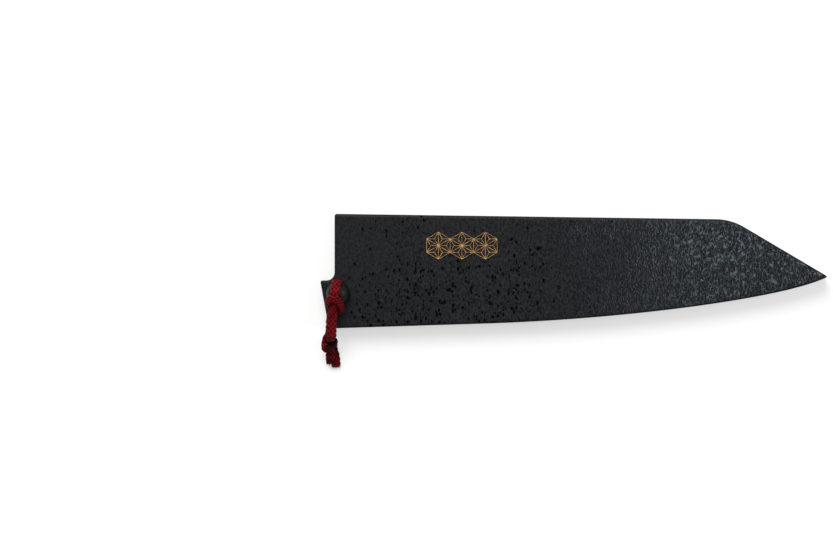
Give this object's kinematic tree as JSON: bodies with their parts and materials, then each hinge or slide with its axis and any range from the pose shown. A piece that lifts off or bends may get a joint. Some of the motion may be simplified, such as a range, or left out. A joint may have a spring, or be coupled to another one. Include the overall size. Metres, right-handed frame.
{
  "type": "knife blade guard",
  "caption": "Flat lacquered wooden blade guard for a kitchen knife, with an open slot, a pull-out retaining peg with a ball head and a knotted red cord.",
  "frame": {"origin": "centre of the bottom of the guard's box, cord left out, on the flat outer face of the back board", "axes": "+X along the guard towards its tip, +Y across it towards the spine, +Z out of the front board towards the peg's head"},
  "size_m": [0.2242, 0.0684, 0.0221],
  "materials": {
    "lacquered_board": "black lacquer with a stone texture, bare wood inside",
    "core_wood": "black lacquer on the rim, bare wood inside",
    "peg_wood": "satin black lacquer",
    "cord_braid": "flat braid, dark red"
  },
  "bodies": {
    "sheath": {"front_board": "lacquered_board", "back_board": "lacquered_board", "spine_strip": "core_wood", "edge_strip": "core_wood"},
    "retaining_peg": {"peg": "peg_wood", "cord_over_head": "cord_braid", "cord_hitch": "cord_braid", "cord_front_leg": "cord_braid", "cord_back_leg": "cord_braid", "cord_end_knot": "cord_braid", "cord_front_tail": "cord_braid", "cord_back_tail": "cord_braid"}
  },
  "joints": [
    {"name": "peg_slide", "type": "slide", "parent": "sheath", "child": "retaining_peg", "axis": [0, 0, 1], "range_m": [0, 0.012]}
  ]
}
